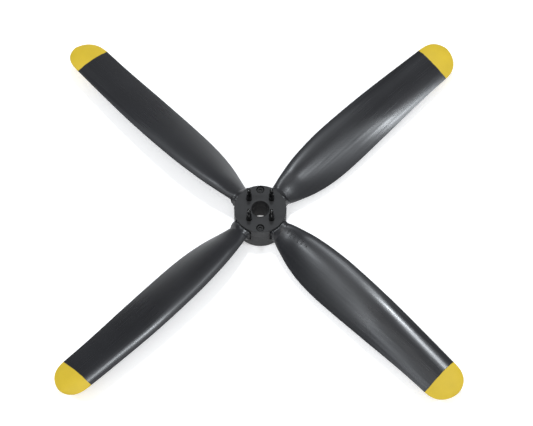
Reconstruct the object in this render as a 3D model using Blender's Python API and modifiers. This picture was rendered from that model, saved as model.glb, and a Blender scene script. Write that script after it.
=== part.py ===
"""Four-blade fixed-pitch propeller for a model aircraft, as a clamped assembly.

Four separately moulded blades sit in pockets between two hub halves. A stepped pin through
each blade's root holds it, and stands proud of the front to locate a spinner. Two socket-head
screws and captive nuts clamp the halves together. The propeller turns as one piece on a shaft
through the bore, counter-clockwise seen from the front.

Frame: origin at the centre of the hub's rear face, +Z along the bore towards the front.
"""

import math

import bmesh
import bpy
from mathutils import Matrix

# Driving dimensions, in metres.
DIAMETER = 0.254
HUB_DIAMETER = 0.0244
HUB_HEIGHT = 0.015
SHAFT_BORE = 0.008
PARTING_HEIGHT = 0.0096
HUB_CHAMFER = 0.0005
RIM_CHAMFER = 0.00015

# Clearances: between faces that meet, and round small hardware in its holes.
FACE_GAP = 0.0003
HARDWARE_GAP = 0.0001

# Blade roots and the pockets that hold them, in a blade's own frame (X along the span).
BLADE_COUNT = 4
FIRST_BLADE_ANGLE = math.radians(45)
POCKET_INNER_RADIUS = 0.0049
POCKET_INNER_HALF_WIDTH = 0.0036
POCKET_MOUTH_RADIUS = 0.013
POCKET_MOUTH_HALF_WIDTH = 0.0054
POCKET_FLOOR = 0.0055
POCKET_CEILING = 0.0138
TANG_END = 0.0126
NECK_RADIUS = 0.0146
AEROFOIL_START = 0.026

# Blade stations: radius, chord, sweep towards the leading edge, blade angle, thickness.
STATIONS = (
    (0.0146, 0.0117, 0.0000, 30.0, 0.0050),
    (0.0185, 0.0144, -0.0002, 28.5, 0.0041),
    (0.0280, 0.0195, -0.0006, 26.8, 0.0034),
    (0.0380, 0.0224, -0.0008, 25.0, 0.0031),
    (0.0500, 0.0235, -0.0007, 22.6, 0.0028),
    (0.0760, 0.0223, -0.0005, 17.2, 0.0023),
    (0.1020, 0.0200, -0.0008, 13.7, 0.0018),
    (0.1270, 0.0185, -0.0017, 11.5, 0.0013),
)
CHORD, SWEEP, ANGLE, THICKNESS = 1, 2, 3, 4
STACK_HEIGHT = 0.0099
STACK_DROP = 0.00075
CAMBER = 0.055
CAMBER_PEAK = 0.42
TRAILING_EDGE = 0.0004
TIP_START = 0.1145
TIP_SWEEP = 0.0012
TIP_POWER = 3.0
TIP_ROUNDNESS = 1.8
SECTION_POINTS = 24
TANG_SQUARENESS = 5.0
BLADE_STEPS = 16
TIP_STEPS = 7

# Blade pins: a stout shank, a taper, and a slim nose in front of the hub.
PIN_CIRCLE_RADIUS = 0.0074
PIN_DIAMETER = 0.0025
PIN_FOOT = 0.0028
PIN_SHOULDER = 0.0038
PIN_TAPER_END = 0.0056
PIN_NOSE_DIAMETER = 0.0017
PIN_NOSE_END = 0.0088

# Clamp screws (M1.6 by 12 mm socket head) and their hexagon nuts.
SCREW_CIRCLE_RADIUS = 0.0100
SCREW_ANGLES = (math.radians(90), math.radians(270))
SCREW_DIAMETER = 0.0016
SCREW_LENGTH = 0.012
HEAD_DIAMETER = 0.0030
HEAD_HEIGHT = 0.0016
HEAD_RECESS = 0.0004
SOCKET_ACROSS_FLATS = 0.0015
SOCKET_DEPTH = 0.0008
COUNTERBORE_DIAMETER = 0.0038
NUT_ACROSS_FLATS = 0.0032
NUT_HEIGHT = 0.0013
NUT_BASE = 0.0014
NUT_POCKET_GAP = 0.0001

HUB_SEGMENTS = 72
HARDWARE_SEGMENTS = 24
PAST = 0.001  # how far a cutter runs past the face it opens


def clear_scene():
    for obj in list(bpy.data.objects):
        bpy.data.objects.remove(obj, do_unlink=True)


def collection(name):
    found = bpy.data.collections.new(name)
    bpy.context.scene.collection.children.link(found)
    return found


def plastic(name, colour, roughness, metallic=0.0):
    """A material with one Principled BSDF."""
    material = bpy.data.materials.new(name)
    material.use_nodes = True
    shader = material.node_tree.nodes["Principled BSDF"]
    shader.inputs["Base Color"].default_value = (*colour, 1.0)
    shader.inputs["Roughness"].default_value = roughness
    shader.inputs["Metallic"].default_value = metallic
    return material


def add_object(name, mesh, group, material=None):
    obj = bpy.data.objects.new(name, mesh)
    group.objects.link(obj)
    if material and not mesh.materials:
        mesh.materials.append(material)
    return obj


def as_cutter(obj):
    obj.hide_render = True
    obj.display_type = "WIRE"
    return obj


def cut(obj, cutters):
    for cutter in cutters:
        modifier = obj.modifiers.new("Cut " + cutter.name, "BOOLEAN")
        modifier.operation = "DIFFERENCE"
        modifier.solver = "EXACT"
        modifier.object = cutter


def turned(name, profile, segments, group, material=None, ring=False):
    """A turned solid. The profile runs down its outer side; a ring's profile also closes up inside."""
    mesh = bpy.data.meshes.new(name)
    last = len(profile) - 1
    edges = [(i, i + 1) for i in range(last)]
    if ring:
        edges.append((last, 0))
    mesh.from_pydata([(radius, 0, height) for radius, height in profile], edges, [])
    obj = add_object(name, mesh, group, material)
    screw = obj.modifiers.new("Turn", "SCREW")
    screw.axis = "Z"
    screw.angle = math.tau
    screw.steps = segments
    screw.render_steps = segments
    screw.use_merge_vertices = True
    screw.merge_threshold = 0.00001
    screw.use_smooth_shade = False
    return obj


def prism(name, sides, across_flats, low, high, group, material=None):
    """An upright prism with one flat facing +X."""
    mesh = bpy.data.meshes.new(name)
    shape = bmesh.new()
    corner_radius = across_flats / 2 / math.cos(math.pi / sides)
    bmesh.ops.create_cone(
        shape,
        cap_ends=True,
        segments=sides,
        radius1=corner_radius,
        radius2=corner_radius,
        depth=high - low,
        matrix=Matrix.Translation((0, 0, (low + high) / 2)),
    )
    bmesh.ops.rotate(shape, verts=shape.verts, matrix=Matrix.Rotation(math.pi / sides, 3, "Z"))
    shape.to_mesh(mesh)
    shape.free()
    return add_object(name, mesh, group, material)


def on_circle(obj, radius, angle):
    """Moves an object out from the bore axis and turns it to face outwards."""
    obj.location = (radius * math.cos(angle), radius * math.sin(angle), 0)
    obj.rotation_euler = (0, 0, angle)
    return obj


def hub_ring(name, low, high, low_chamfer, high_rim, group, material):
    """One hub half before its pockets are cut."""
    outer = HUB_DIAMETER / 2
    inner = SHAFT_BORE / 2
    bore_high = HUB_CHAMFER if high_rim else 0.0
    profile = [
        (inner + bore_high, high),
        (outer - high_rim, high),
        (outer, high - high_rim),
        (outer, low + low_chamfer),
        (outer - low_chamfer, low),
        (inner + low_chamfer, low),
        (inner, low + low_chamfer),
        (inner, high - bore_high),
    ]
    kept = [point for i, point in enumerate(profile) if point != profile[i - 1]]
    return turned(name, kept, HUB_SEGMENTS, group, material, ring=True)


def pocket_cutter(name, group):
    """The wedge-shaped pocket for one blade root."""
    mesh = bpy.data.meshes.new(name)
    shape = bmesh.new()
    bmesh.ops.create_cube(shape, size=1.0)
    for vert in shape.verts:
        outside = vert.co.x > 0
        half_width = POCKET_MOUTH_HALF_WIDTH if outside else POCKET_INNER_HALF_WIDTH
        vert.co.x = POCKET_MOUTH_RADIUS if outside else POCKET_INNER_RADIUS
        vert.co.y = math.copysign(half_width, vert.co.y)
        vert.co.z = POCKET_CEILING if vert.co.z > 0 else POCKET_FLOOR
    shape.to_mesh(mesh)
    shape.free()
    return add_object(name, mesh, group)


def station_value(radius, column):
    """A station table column at any radius, as a smooth cubic through the stations."""
    last = len(STATIONS) - 1
    i = max(k for k in range(last) if k == 0 or STATIONS[k][0] <= radius)

    def slope(k):
        before, after = STATIONS[max(k - 1, 0)], STATIONS[min(k + 1, last)]
        return (after[column] - before[column]) / (after[0] - before[0])

    start, end = STATIONS[i], STATIONS[i + 1]
    length = end[0] - start[0]
    t = (radius - start[0]) / length
    rise = (3 - 2 * t) * t * t
    return (
        (1 - rise) * start[column]
        + rise * end[column]
        + length * t * (1 - t) * ((1 - t) * slope(i) - t * slope(i + 1))
    )


def smooth_step(value, low, high):
    t = min(max((value - low) / (high - low), 0.0), 1.0)
    return t * t * (3 - 2 * t)


def rounded(value, power):
    """A cosine or sine pushed outwards, which squares up a circle."""
    return math.copysign(abs(value) ** power, value)


def tang_section(radius):
    """The blade root inside its pocket: a rounded rectangle, in the Y-Z plane."""
    along = (radius - POCKET_INNER_RADIUS) / (POCKET_MOUTH_RADIUS - POCKET_INNER_RADIUS)
    widening = POCKET_MOUTH_HALF_WIDTH - POCKET_INNER_HALF_WIDTH
    half_width = POCKET_INNER_HALF_WIDTH + along * widening - FACE_GAP
    half_height = (POCKET_CEILING - POCKET_FLOOR) / 2 - FACE_GAP
    middle = (POCKET_CEILING + POCKET_FLOOR) / 2
    power = 2 / TANG_SQUARENESS
    points = []
    for k in range(SECTION_POINTS):
        turn = math.tau * k / SECTION_POINTS
        across = -half_width * rounded(math.cos(turn), power)
        points.append((across, middle + half_height * rounded(math.sin(turn), power)))
    return points


def aerofoil_offset(x, side, thickness, chord):
    """Height over the chord line at x (0 at the leading edge) on the front (+1) or back (-1)."""
    if x < CAMBER_PEAK:
        bend = CAMBER * (2 * CAMBER_PEAK * x - x * x) / CAMBER_PEAK**2
    else:
        rear = 1 - CAMBER_PEAK
        bend = CAMBER * (1 - 2 * CAMBER_PEAK + 2 * CAMBER_PEAK * x - x * x) / rear**2
    shape = 0.2969 * math.sqrt(x) - 0.1260 * x - 0.3516 * x**2 + 0.2843 * x**3 - 0.1015 * x**4
    half = 5 * thickness * shape + TRAILING_EDGE / 2 * x
    return bend * chord + side * half


def blade_section(radius):
    """The blade outside its pocket, in the Y-Z plane: oval at the neck, an aerofoil further out."""
    chord = station_value(radius, CHORD)
    sweep = station_value(radius, SWEEP)
    thickness = station_value(radius, THICKNESS)
    angle = math.radians(station_value(radius, ANGLE))
    height = STACK_HEIGHT - STACK_DROP * radius / (DIAMETER / 2)
    if radius > TIP_START:
        t = (radius - TIP_START) / (DIAMETER / 2 - TIP_START)
        shrink = (1 - t**TIP_POWER) ** (1 / TIP_ROUNDNESS)
        chord *= shrink
        thickness *= 0.4 + 0.6 * shrink
        sweep += TIP_SWEEP * t * t
    aerofoil = smooth_step(radius, NECK_RADIUS, AEROFOIL_START)
    points = []
    for k in range(SECTION_POINTS):
        turn = math.tau * k / SECTION_POINTS
        x = (1 + math.cos(turn)) / 2
        side = math.sin(turn)
        oval = thickness / 2 * side
        face = aerofoil_offset(x, math.copysign(1, side), thickness, chord)
        if k in (0, SECTION_POINTS // 2):
            face = aerofoil_offset(x, 0, thickness, chord)
        up = oval + (face - oval) * aerofoil
        along = (0.5 - x) * chord
        points.append(
            (
                sweep + along * math.cos(angle) - up * math.sin(angle),
                height + along * math.sin(angle) + up * math.cos(angle),
            )
        )
    return points


def blade_sections():
    """(radius, points) of every ring of the blade, from the tang's inner end to the tip."""
    rings = []
    for radius in (POCKET_INNER_RADIUS + FACE_GAP, TANG_END):
        rings.append((radius, tang_section(radius)))
    for step in range(BLADE_STEPS + 1):
        spread = (step / BLADE_STEPS) ** 1.5
        radius = NECK_RADIUS + (TIP_START - NECK_RADIUS) * spread
        rings.append((radius, blade_section(radius)))
    tip_length = DIAMETER / 2 - TIP_START
    for step in range(1, TIP_STEPS + 1):
        radius = TIP_START + tip_length * math.sin(math.pi / 2 * step / (TIP_STEPS + 0.4))
        rings.append((radius, blade_section(radius)))
    end = DIAMETER / 2
    rings.append((end, blade_section(end - 0.0005 * tip_length)))
    return rings


def blade_mesh():
    """The blade as a loft between unlike sections, with flat ends."""
    mesh = bpy.data.meshes.new("blade")
    shape = bmesh.new()
    rings = [
        [shape.verts.new((radius, y, z)) for y, z in points]
        for radius, points in blade_sections()
    ]
    for inner, outer in zip(rings, rings[1:]):
        for k in range(SECTION_POINTS):
            n = (k + 1) % SECTION_POINTS
            shape.faces.new((inner[k], inner[n], outer[n], outer[k]))
    shape.faces.new(rings[0])
    shape.faces.new(rings[-1])
    bmesh.ops.recalc_face_normals(shape, faces=shape.faces)
    shape.to_mesh(mesh)
    shape.free()
    mesh.shade_smooth()
    mesh.set_sharp_from_angle(angle=math.radians(50))
    return mesh


def pin_profile():
    """A blade pin from its nose down to its foot."""
    face = HUB_HEIGHT
    nose = PIN_NOSE_DIAMETER / 2
    body = PIN_DIAMETER / 2
    dome = [
        (nose * math.sin(turn), face + PIN_NOSE_END - nose * (1 - math.cos(turn)))
        for turn in (math.radians(30 * k) for k in range(4))
    ]
    return dome + [
        (nose, face + PIN_TAPER_END),
        (body, face + PIN_SHOULDER),
        (body, PIN_FOOT + HARDWARE_GAP),
        (body - HARDWARE_GAP, PIN_FOOT),
        (0, PIN_FOOT),
    ]


def screw_profile():
    """A clamp screw from the top of its head down to its end."""
    top = HUB_HEIGHT - HEAD_RECESS
    seat = top - HEAD_HEIGHT
    head = HEAD_DIAMETER / 2
    body = SCREW_DIAMETER / 2
    edge = 0.00015
    return [
        (0, top),
        (head - edge, top),
        (head, top - edge),
        (head, seat),
        (body, seat),
        (body, seat - SCREW_LENGTH + edge),
        (body - edge, seat - SCREW_LENGTH),
        (0, seat - SCREW_LENGTH),
    ]


def screw_hole_profile():
    """The counterbore and clearance hole through both halves."""
    seat = HUB_HEIGHT - HEAD_RECESS - HEAD_HEIGHT - HARDWARE_GAP
    bore = COUNTERBORE_DIAMETER / 2
    body = SCREW_DIAMETER / 2 + HARDWARE_GAP
    return [
        (0, HUB_HEIGHT + PAST),
        (bore, HUB_HEIGHT + PAST),
        (bore, seat),
        (body, seat),
        (body, -PAST),
        (0, -PAST),
    ]


def nut_profile():
    """The nut's chamfered outline, which trims a hexagon prism's corners."""
    flat = NUT_ACROSS_FLATS / 2
    corner = flat / math.cos(math.pi / 6)
    chamfer = (corner - flat) * math.tan(math.radians(30))
    top = NUT_BASE + NUT_HEIGHT
    return [
        (0, top),
        (flat, top),
        (corner, top - chamfer),
        (corner, NUT_BASE + chamfer),
        (flat, NUT_BASE),
        (0, NUT_BASE),
    ]


def add_cutters(group):
    """Every hole and pocket, as cutters sorted by what they cut."""
    found = {"pockets": [], "pins": [], "screws": [], "nuts": [], "sockets": [], "threads": []}
    for i in range(BLADE_COUNT):
        angle = FIRST_BLADE_ANGLE + math.tau * i / BLADE_COUNT
        pocket = pocket_cutter(f"pocket_cutter_{i + 1}", group)
        pocket.rotation_euler = (0, 0, angle)
        hole = PIN_DIAMETER / 2 + HARDWARE_GAP
        profile = [(0, HUB_HEIGHT + PAST), (hole, HUB_HEIGHT + PAST)]
        profile += [(hole, PIN_FOOT - HARDWARE_GAP), (0, PIN_FOOT - HARDWARE_GAP)]
        pin = turned(f"pin_hole_cutter_{i + 1}", profile, HARDWARE_SEGMENTS, group)
        found["pockets"].append(pocket)
        found["pins"].append(on_circle(pin, PIN_CIRCLE_RADIUS, angle))
    for i, angle in enumerate(SCREW_ANGLES):
        head_top = HUB_HEIGHT - HEAD_RECESS
        hole = turned(
            f"screw_hole_cutter_{i + 1}", screw_hole_profile(), HARDWARE_SEGMENTS, group
        )
        nut = prism(
            f"nut_pocket_cutter_{i + 1}",
            6,
            NUT_ACROSS_FLATS + 2 * NUT_POCKET_GAP,
            -PAST,
            NUT_BASE + NUT_HEIGHT + HARDWARE_GAP,
            group,
        )
        socket = prism(
            f"socket_cutter_{i + 1}",
            6,
            SOCKET_ACROSS_FLATS,
            head_top - SOCKET_DEPTH,
            head_top + PAST,
            group,
        )
        thread_radius = SCREW_DIAMETER / 2 + HARDWARE_GAP
        thread_profile = [(0, HUB_HEIGHT), (thread_radius, HUB_HEIGHT)]
        thread_profile += [(thread_radius, -PAST), (0, -PAST)]
        thread = turned(f"nut_hole_cutter_{i + 1}", thread_profile, HARDWARE_SEGMENTS, group)
        placed = ((hole, "screws"), (nut, "nuts"), (socket, "sockets"), (thread, "threads"))
        for obj, use in placed:
            found[use].append(on_circle(obj, SCREW_CIRCLE_RADIUS, angle))
    for obj in group.objects:
        as_cutter(obj)
    return found


def add_hub(group, cutters, material):
    """The two hub halves, which meet at the parting plane."""
    low = PARTING_HEIGHT + FACE_GAP / 2
    front = hub_ring("hub_front", low, HUB_HEIGHT, 0.0, RIM_CHAMFER, group, material)
    high = PARTING_HEIGHT - FACE_GAP / 2
    rear = hub_ring("hub_rear", 0.0, high, HUB_CHAMFER, 0.0, group, material)
    shared = cutters["pockets"] + cutters["pins"] + cutters["screws"]
    cut(front, shared)
    cut(rear, shared + cutters["nuts"])


def add_blades(group, cutters, material):
    """Four identical blades, each with an eye for its pin."""
    mesh = blade_mesh()
    for i in range(BLADE_COUNT):
        blade = add_object(f"blade_{i + 1}", mesh, group, material)
        blade.rotation_euler = (0, 0, FIRST_BLADE_ANGLE + math.tau * i / BLADE_COUNT)
        cut(blade, [cutters["pins"][i]])


def add_pins(group, material):
    for i in range(BLADE_COUNT):
        angle = FIRST_BLADE_ANGLE + math.tau * i / BLADE_COUNT
        name = f"blade_pin_{i + 1}"
        pin = turned(name, pin_profile(), HARDWARE_SEGMENTS, group, material)
        on_circle(pin, PIN_CIRCLE_RADIUS, angle)


def add_screws_and_nuts(group, cutters, screw_material, nut_material):
    for i, angle in enumerate(SCREW_ANGLES):
        name = f"clamp_screw_{i + 1}"
        screw = turned(name, screw_profile(), HARDWARE_SEGMENTS, group, screw_material)
        on_circle(screw, SCREW_CIRCLE_RADIUS, angle)
        cut(screw, [cutters["sockets"][i]])
        nut = turned(f"clamp_nut_{i + 1}", nut_profile(), HARDWARE_SEGMENTS, group, nut_material)
        on_circle(nut, SCREW_CIRCLE_RADIUS, angle)
        hexagon = nut.modifiers.new("Hexagon", "BOOLEAN")
        hexagon.operation = "INTERSECT"
        hexagon.object = cutters["hexagons"][i]
        cut(nut, [cutters["threads"][i]])


def add_hexagons(group):
    """The hexagon prisms that the two nuts are cut from."""
    found = []
    for i, angle in enumerate(SCREW_ANGLES):
        name = f"nut_hexagon_{i + 1}"
        high = NUT_BASE + NUT_HEIGHT + PAST
        hexagon = prism(name, 6, NUT_ACROSS_FLATS, NUT_BASE - PAST, high, group)
        found.append(as_cutter(on_circle(hexagon, SCREW_CIRCLE_RADIUS, angle)))
    return found


def main():
    clear_scene()
    parts = collection("propeller")
    helpers = collection("cutters")
    cutters = add_cutters(helpers)
    cutters["hexagons"] = add_hexagons(helpers)
    blade_black = plastic("blade plastic", (0.040, 0.041, 0.046), 0.30)
    hub_black = plastic("hub plastic", (0.048, 0.048, 0.050), 0.42)
    pin_black = plastic("pin steel", (0.015, 0.015, 0.016), 0.35, 0.6)
    screw_black = plastic("screw steel", (0.05, 0.05, 0.05), 0.40, 0.8)
    nut_steel = plastic("nut steel", (0.45, 0.45, 0.46), 0.35, 1.0)
    add_hub(parts, cutters, hub_black)
    add_blades(parts, cutters, blade_black)
    add_pins(parts, pin_black)
    add_screws_and_nuts(parts, cutters, screw_black, nut_steel)


main()
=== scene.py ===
"""Finished surfaces of a four-blade model-aircraft propeller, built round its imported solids.

Black moulded blades with painted tips sit between two hub halves, held by four stepped pins and
clamped by two socket-head screws in captive nuts. Each operator makes one kind of piece.
"""

import math

import bmesh
import bpy
from bpy.props import FloatProperty, FloatVectorProperty, IntProperty, PointerProperty
from mathutils import Matrix, Vector


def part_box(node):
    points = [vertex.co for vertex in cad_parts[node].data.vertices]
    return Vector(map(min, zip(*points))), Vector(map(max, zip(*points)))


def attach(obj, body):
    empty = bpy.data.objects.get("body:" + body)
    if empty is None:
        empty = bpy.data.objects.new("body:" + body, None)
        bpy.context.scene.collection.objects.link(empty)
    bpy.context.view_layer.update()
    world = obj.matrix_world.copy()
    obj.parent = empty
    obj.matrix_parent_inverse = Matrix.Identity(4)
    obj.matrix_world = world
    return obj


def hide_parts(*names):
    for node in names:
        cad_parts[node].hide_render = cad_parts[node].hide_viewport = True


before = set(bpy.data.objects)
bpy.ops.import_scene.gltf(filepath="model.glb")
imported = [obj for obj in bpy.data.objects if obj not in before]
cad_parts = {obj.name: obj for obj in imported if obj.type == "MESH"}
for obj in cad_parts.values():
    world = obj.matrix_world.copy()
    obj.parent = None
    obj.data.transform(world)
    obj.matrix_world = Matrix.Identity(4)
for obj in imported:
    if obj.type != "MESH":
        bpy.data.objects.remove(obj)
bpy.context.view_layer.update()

bl_info = {
    "name": "Model Propeller",
    "version": (1, 0, 0),
    "blender": (4, 5, 0),
    "location": "3D View > Sidebar > Propeller",
    "description": "Builds the finished blades, hub, pins, screws and nuts of a model propeller",
    "category": "Object",
}

BODY = "root"
BLADE_ANGLES = tuple(math.radians(45 + 90 * i) for i in range(4))


def middle_of(node):
    low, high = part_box(node)
    return (low + high) / 2


def span_of(node, angle):
    """How far a CAD node reaches from the bore axis in one direction."""
    direction = Vector((math.cos(angle), math.sin(angle), 0))
    return max(vert.co.dot(direction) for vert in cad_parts[node].data.vertices)


HUB_FRONT_LOW, HUB_FRONT_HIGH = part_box("hub_front")
HUB_REAR_LOW, HUB_REAR_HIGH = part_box("hub_rear")
HUB_RADIUS = HUB_FRONT_HIGH.x
HUB_TOP = HUB_FRONT_HIGH.z
TIP_RADIUS = span_of("blade_1", BLADE_ANGLES[0])
PIN_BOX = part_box("blade_pin_1")
PIN_CIRCLE = middle_of("blade_pin_1").xy.length
SCREW_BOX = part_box("clamp_screw_1")
SCREW_CIRCLE = middle_of("clamp_screw_1").xy.length
SCREW_ANGLES = tuple(
    math.atan2(middle_of(node).y, middle_of(node).x)
    for node in ("clamp_screw_1", "clamp_screw_2")
)
NUT_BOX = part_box("clamp_nut_1")

# Blade root and pocket, in a blade's own frame: X along the span, Y towards the leading edge.
POCKET_INNER_RADIUS = 0.0049
POCKET_INNER_HALF_WIDTH = 0.0036
POCKET_MOUTH_RADIUS = 0.013
POCKET_MOUTH_HALF_WIDTH = 0.0054
POCKET_FLOOR = 0.0055
POCKET_CEILING = 0.0138
POCKET_CORNER = 0.0004
FACE_GAP = 0.0003
TANG_END = 0.0126
NECK_RADIUS = 0.0146
AEROFOIL_START = 0.026

# Blade stations: radius, chord, sweep towards the leading edge, blade angle, thickness.
STATIONS = (
    (0.0146, 0.0117, 0.0000, 30.0, 0.0050),
    (0.0185, 0.0144, -0.0002, 28.5, 0.0041),
    (0.0280, 0.0195, -0.0006, 26.8, 0.0034),
    (0.0380, 0.0224, -0.0008, 25.0, 0.0031),
    (0.0500, 0.0235, -0.0007, 22.6, 0.0028),
    (0.0760, 0.0223, -0.0005, 17.2, 0.0023),
    (0.1020, 0.0200, -0.0008, 13.7, 0.0018),
    (0.1270, 0.0185, -0.0017, 11.5, 0.0013),
)
CHORD, SWEEP, ANGLE, THICKNESS = 1, 2, 3, 4
STACK_HEIGHT = 0.0099
STACK_DROP = 0.00075
TIP_START = 0.1145
TIP_SWEEP = 0.0012
TIP_POWER = 3.0
TIP_ROUNDNESS = 1.8
TIP_THICKNESS = 0.4
TANG_POWER = 0.4

# Rings of the fine blade: they crowd towards the root and round the tip, and the last one is tiny.
TANG_STEPS = 6
NECK_STEPS = 8
BLADE_STEPS = 110
BLADE_CROWDING = 1.4
TIP_STEPS = 40
TIP_SPREAD = TIP_STEPS + 0.4
LAST_RING = 0.0005

# Thickness along a four-digit aerofoil: its scale, a square-root term, then powers 1 to 4.
SECTION_SCALE = 5.0
SECTION_ROOT = 0.2969
SECTION_POWERS = (-0.1260, -0.3516, 0.2843, -0.1015)

# Moulded ticks on the front of the last blade, close to its root.
MARKED_BLADE = 3
MARK_COUNT = 5
MARK_START = 0.0172
MARK_SPACING = 0.0021
MARK_ACROSS = 0.0016
MARK_LENGTH = 0.0036
MARK_WIDTH = 0.0006
MARK_HEIGHT = 0.00022
MARK_SINK = 0.0004
MARK_ROUNDING = 0.0001
SHORT_MARK = 0.65
DOT_GAP = 0.2
DOT_SIZE = MARK_WIDTH * 1.6

# Where the blades' gloss changes, from the bore axis out, and from the front edge back.
ROOT_GLOSS = (0.028, 0.042)
MID_GLOSS = (0.058, 0.078)
SCUFFED_SPAN = (0.07, 0.10)
SCUFF_WIDTH = (0.0007, 0.0018)

# How far the paint line wanders and blurs, and how far in the paint is thin.
PAINT_WOBBLE = 0.00012
PAINT_BLUR = 0.00012
THIN_PAINT = 0.0005

# The pins' stout part and its taper end this far above the hub's front face.
PIN_SHOULDER = 0.0038
PIN_TAPER_END = 0.0056

# Room round a pin, a shank, a head or a nut, and how far a cutter runs past the hub.
CLEARANCE = 0.0001
OVERRUN = 0.001
HOLE_SEGMENTS = 48
SCREW_SEGMENTS = 96
KNURL_TEETH = 24.0
KNURL_DEPTH = 0.00008
FILLET_STEPS = 4

# Mesh limits: welding distance, misplaced points, and which edges and faces stay flat-shaded.
WELD = 0.0000002
MISPLACED = 0.00001
SHARP_EDGE = math.radians(32)
FLAT_NORMAL = 0.9999


# Sizes and colours -----------------------------------------------------------------------------


def length(name, description, default):
    return FloatProperty(
        name=name, description=description, default=default, min=0.0, unit="LENGTH", precision=5
    )


def colour(name, description, default):
    return FloatVectorProperty(
        name=name, description=description, default=default, size=3, min=0.0, max=1.0, subtype="COLOR"
    )


class PropellerSizes(bpy.types.PropertyGroup):
    """Sizes of the finished pieces that aren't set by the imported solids."""

    camber: FloatProperty(
        name="Camber", description="Height of the blade's mean line, as a share of chord",
        default=0.055, min=0.0, max=0.2,
    )
    camber_peak: FloatProperty(
        name="Camber peak", description="Where the mean line is highest, as a share of chord",
        default=0.42, min=0.1, max=0.9,
    )
    trailing_edge: length("Trailing edge", "Thickness of the blade's rear edge", 0.0004)
    paint_length: length("Painted length", "Length of paint at each blade's tip", 0.0115)
    section_points: IntProperty(
        name="Section points", description="Points round each blade section", default=96, min=24
    )
    turned_segments: IntProperty(
        name="Turned segments", description="Segments round small turned pieces", default=72, min=24
    )
    hub_segments: IntProperty(
        name="Hub segments", description="Segments round the hub", default=192, min=48
    )
    bore_diameter: length("Bore", "Diameter of the shaft bore", 0.008)
    rim_fillet: length("Rim fillet", "Rounding of the hub's front rim", 0.00022)
    pin_shank: length("Pin shank", "Diameter of a pin's stout part", 0.0025)
    pin_nose: length("Pin nose", "Diameter of a pin's slim end", 0.0017)
    screw_shank: length("Screw shank", "Outside diameter of the screw thread", 0.0016)
    thread_pitch: length("Thread pitch", "Distance between thread crests", 0.00035)
    thread_depth: length("Thread depth", "Depth of the thread grooves", 0.00014)
    head_height: length("Head height", "Height of the screw head", 0.0016)
    socket_flats: length("Socket across flats", "Hexagon socket in the screw head", 0.0015)
    socket_depth: length("Socket depth", "Depth of the hexagon socket", 0.0008)
    counterbore: length("Counterbore", "Diameter of the recess round a screw head", 0.0038)
    nut_flats: length("Nut across flats", "Size of the captive nut", 0.0032)


class PropellerColours(bpy.types.PropertyGroup):
    """Colours of the finishes."""

    blade: colour("Blade plastic", "Black moulded plastic of the blades", (0.0095, 0.0100, 0.0120))
    tip_paint: colour("Tip paint", "Yellow paint on the tips", (0.575, 0.405, 0.014))
    hub: colour("Hub plastic", "Black moulded plastic of the hub", (0.0110, 0.0110, 0.0118))
    pin: colour("Pin steel", "Black oxide on the blade pins", (0.003, 0.003, 0.0032))
    screw: colour("Screw steel", "Black oxide on the clamp screws", (0.0035, 0.0035, 0.0038))
    nut: colour("Nut steel", "Zinc plating on the nuts", (0.52, 0.52, 0.54))
    floor: colour("Floor", "Pale floor", (0.93, 0.93, 0.93))


def sizes():
    return bpy.context.scene.propeller_sizes


def colours():
    return bpy.context.scene.propeller_colours


# Node helpers ----------------------------------------------------------------------------------


class Wiring:
    """Adds nodes to a tree in few words. A value is a number or another node's output."""

    def __init__(self, tree):
        self.tree = tree

    def node(self, kind, values=None, **settings):
        made = self.tree.nodes.new(kind)
        for name, value in settings.items():
            setattr(made, name, value)
        for key, value in (values or {}).items():
            self.feed(made.inputs[key], value)
        return made

    def feed(self, socket, value):
        if isinstance(value, bpy.types.NodeSocket):
            self.tree.links.new(value, socket)
        else:
            socket.default_value = value

    def math(self, operation, *values):
        made = self.node("ShaderNodeMath", operation=operation)
        for socket, value in zip(made.inputs, values):
            self.feed(socket, value)
        return made.outputs[0]

    def times(self, a, b):
        return self.math("MULTIPLY", a, b)

    def plus(self, a, b):
        return self.math("ADD", a, b)

    def minus(self, a, b):
        return self.math("SUBTRACT", a, b)

    def mix(self, a, b, share):
        """a where share is 0, b where it is 1."""
        return self.math("MULTIPLY_ADD", self.minus(b, a), share, a)

    def noise(self, place, scale, detail=2.0, roughness=0.5, seed_shift=0.0):
        moved = self.node(
            "ShaderNodeMapping", {"Vector": place, "Location": (seed_shift, seed_shift, seed_shift)}
        )
        made = self.node(
            "ShaderNodeTexNoise",
            {"Vector": moved.outputs[0], "Scale": scale, "Detail": detail, "Roughness": roughness},
        )
        return made.outputs["Fac"]

    def ramp(self, value, low, high, out_low=0.0, out_high=1.0):
        """value from low to high, mapped to out_low to out_high and clamped."""
        made = self.node(
            "ShaderNodeMapRange",
            {"Value": value, "From Min": low, "From Max": high, "To Min": out_low, "To Max": out_high},
        )
        return made.outputs["Result"]

    def blend_colour(self, a, b, share):
        made = self.node("ShaderNodeMix", data_type="RGBA")
        self.feed(made.inputs[0], share)
        self.feed(made.inputs[6], a if isinstance(a, bpy.types.NodeSocket) else (*a, 1.0))
        self.feed(made.inputs[7], b if isinstance(b, bpy.types.NodeSocket) else (*b, 1.0))
        return made.outputs[2]


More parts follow.
